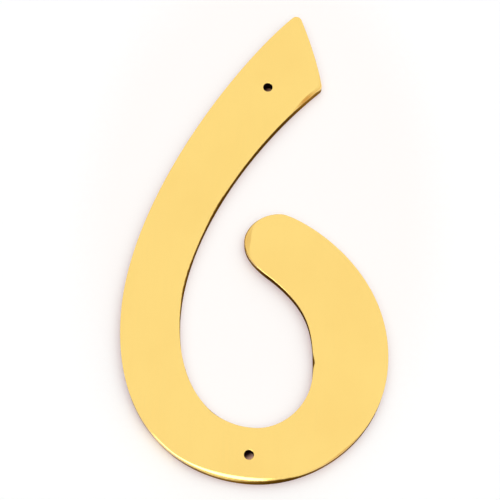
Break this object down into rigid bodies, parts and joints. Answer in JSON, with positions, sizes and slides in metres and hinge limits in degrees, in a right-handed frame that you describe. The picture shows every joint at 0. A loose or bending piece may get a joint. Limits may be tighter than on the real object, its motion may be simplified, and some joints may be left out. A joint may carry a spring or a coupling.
{
  "type": "letterbox numeral",
  "caption": "Flat polished brass numeral 6 with rounded front edges, a slanted stem end and nail holes, for fixing to a letterbox, door or gate post.",
  "frame": {"origin": "middle of the plate's bounding box, on its back face", "axes": "+Y up the numeral as it is read, +X to the reader's right, +Z out of the polished face"},
  "size_m": [0.0538, 0.0998, 0.0025],
  "materials": {
    "brass": "polished"
  },
  "bodies": {
    "root": {"numeral_plate": "brass"}
  },
  "joints": []
}
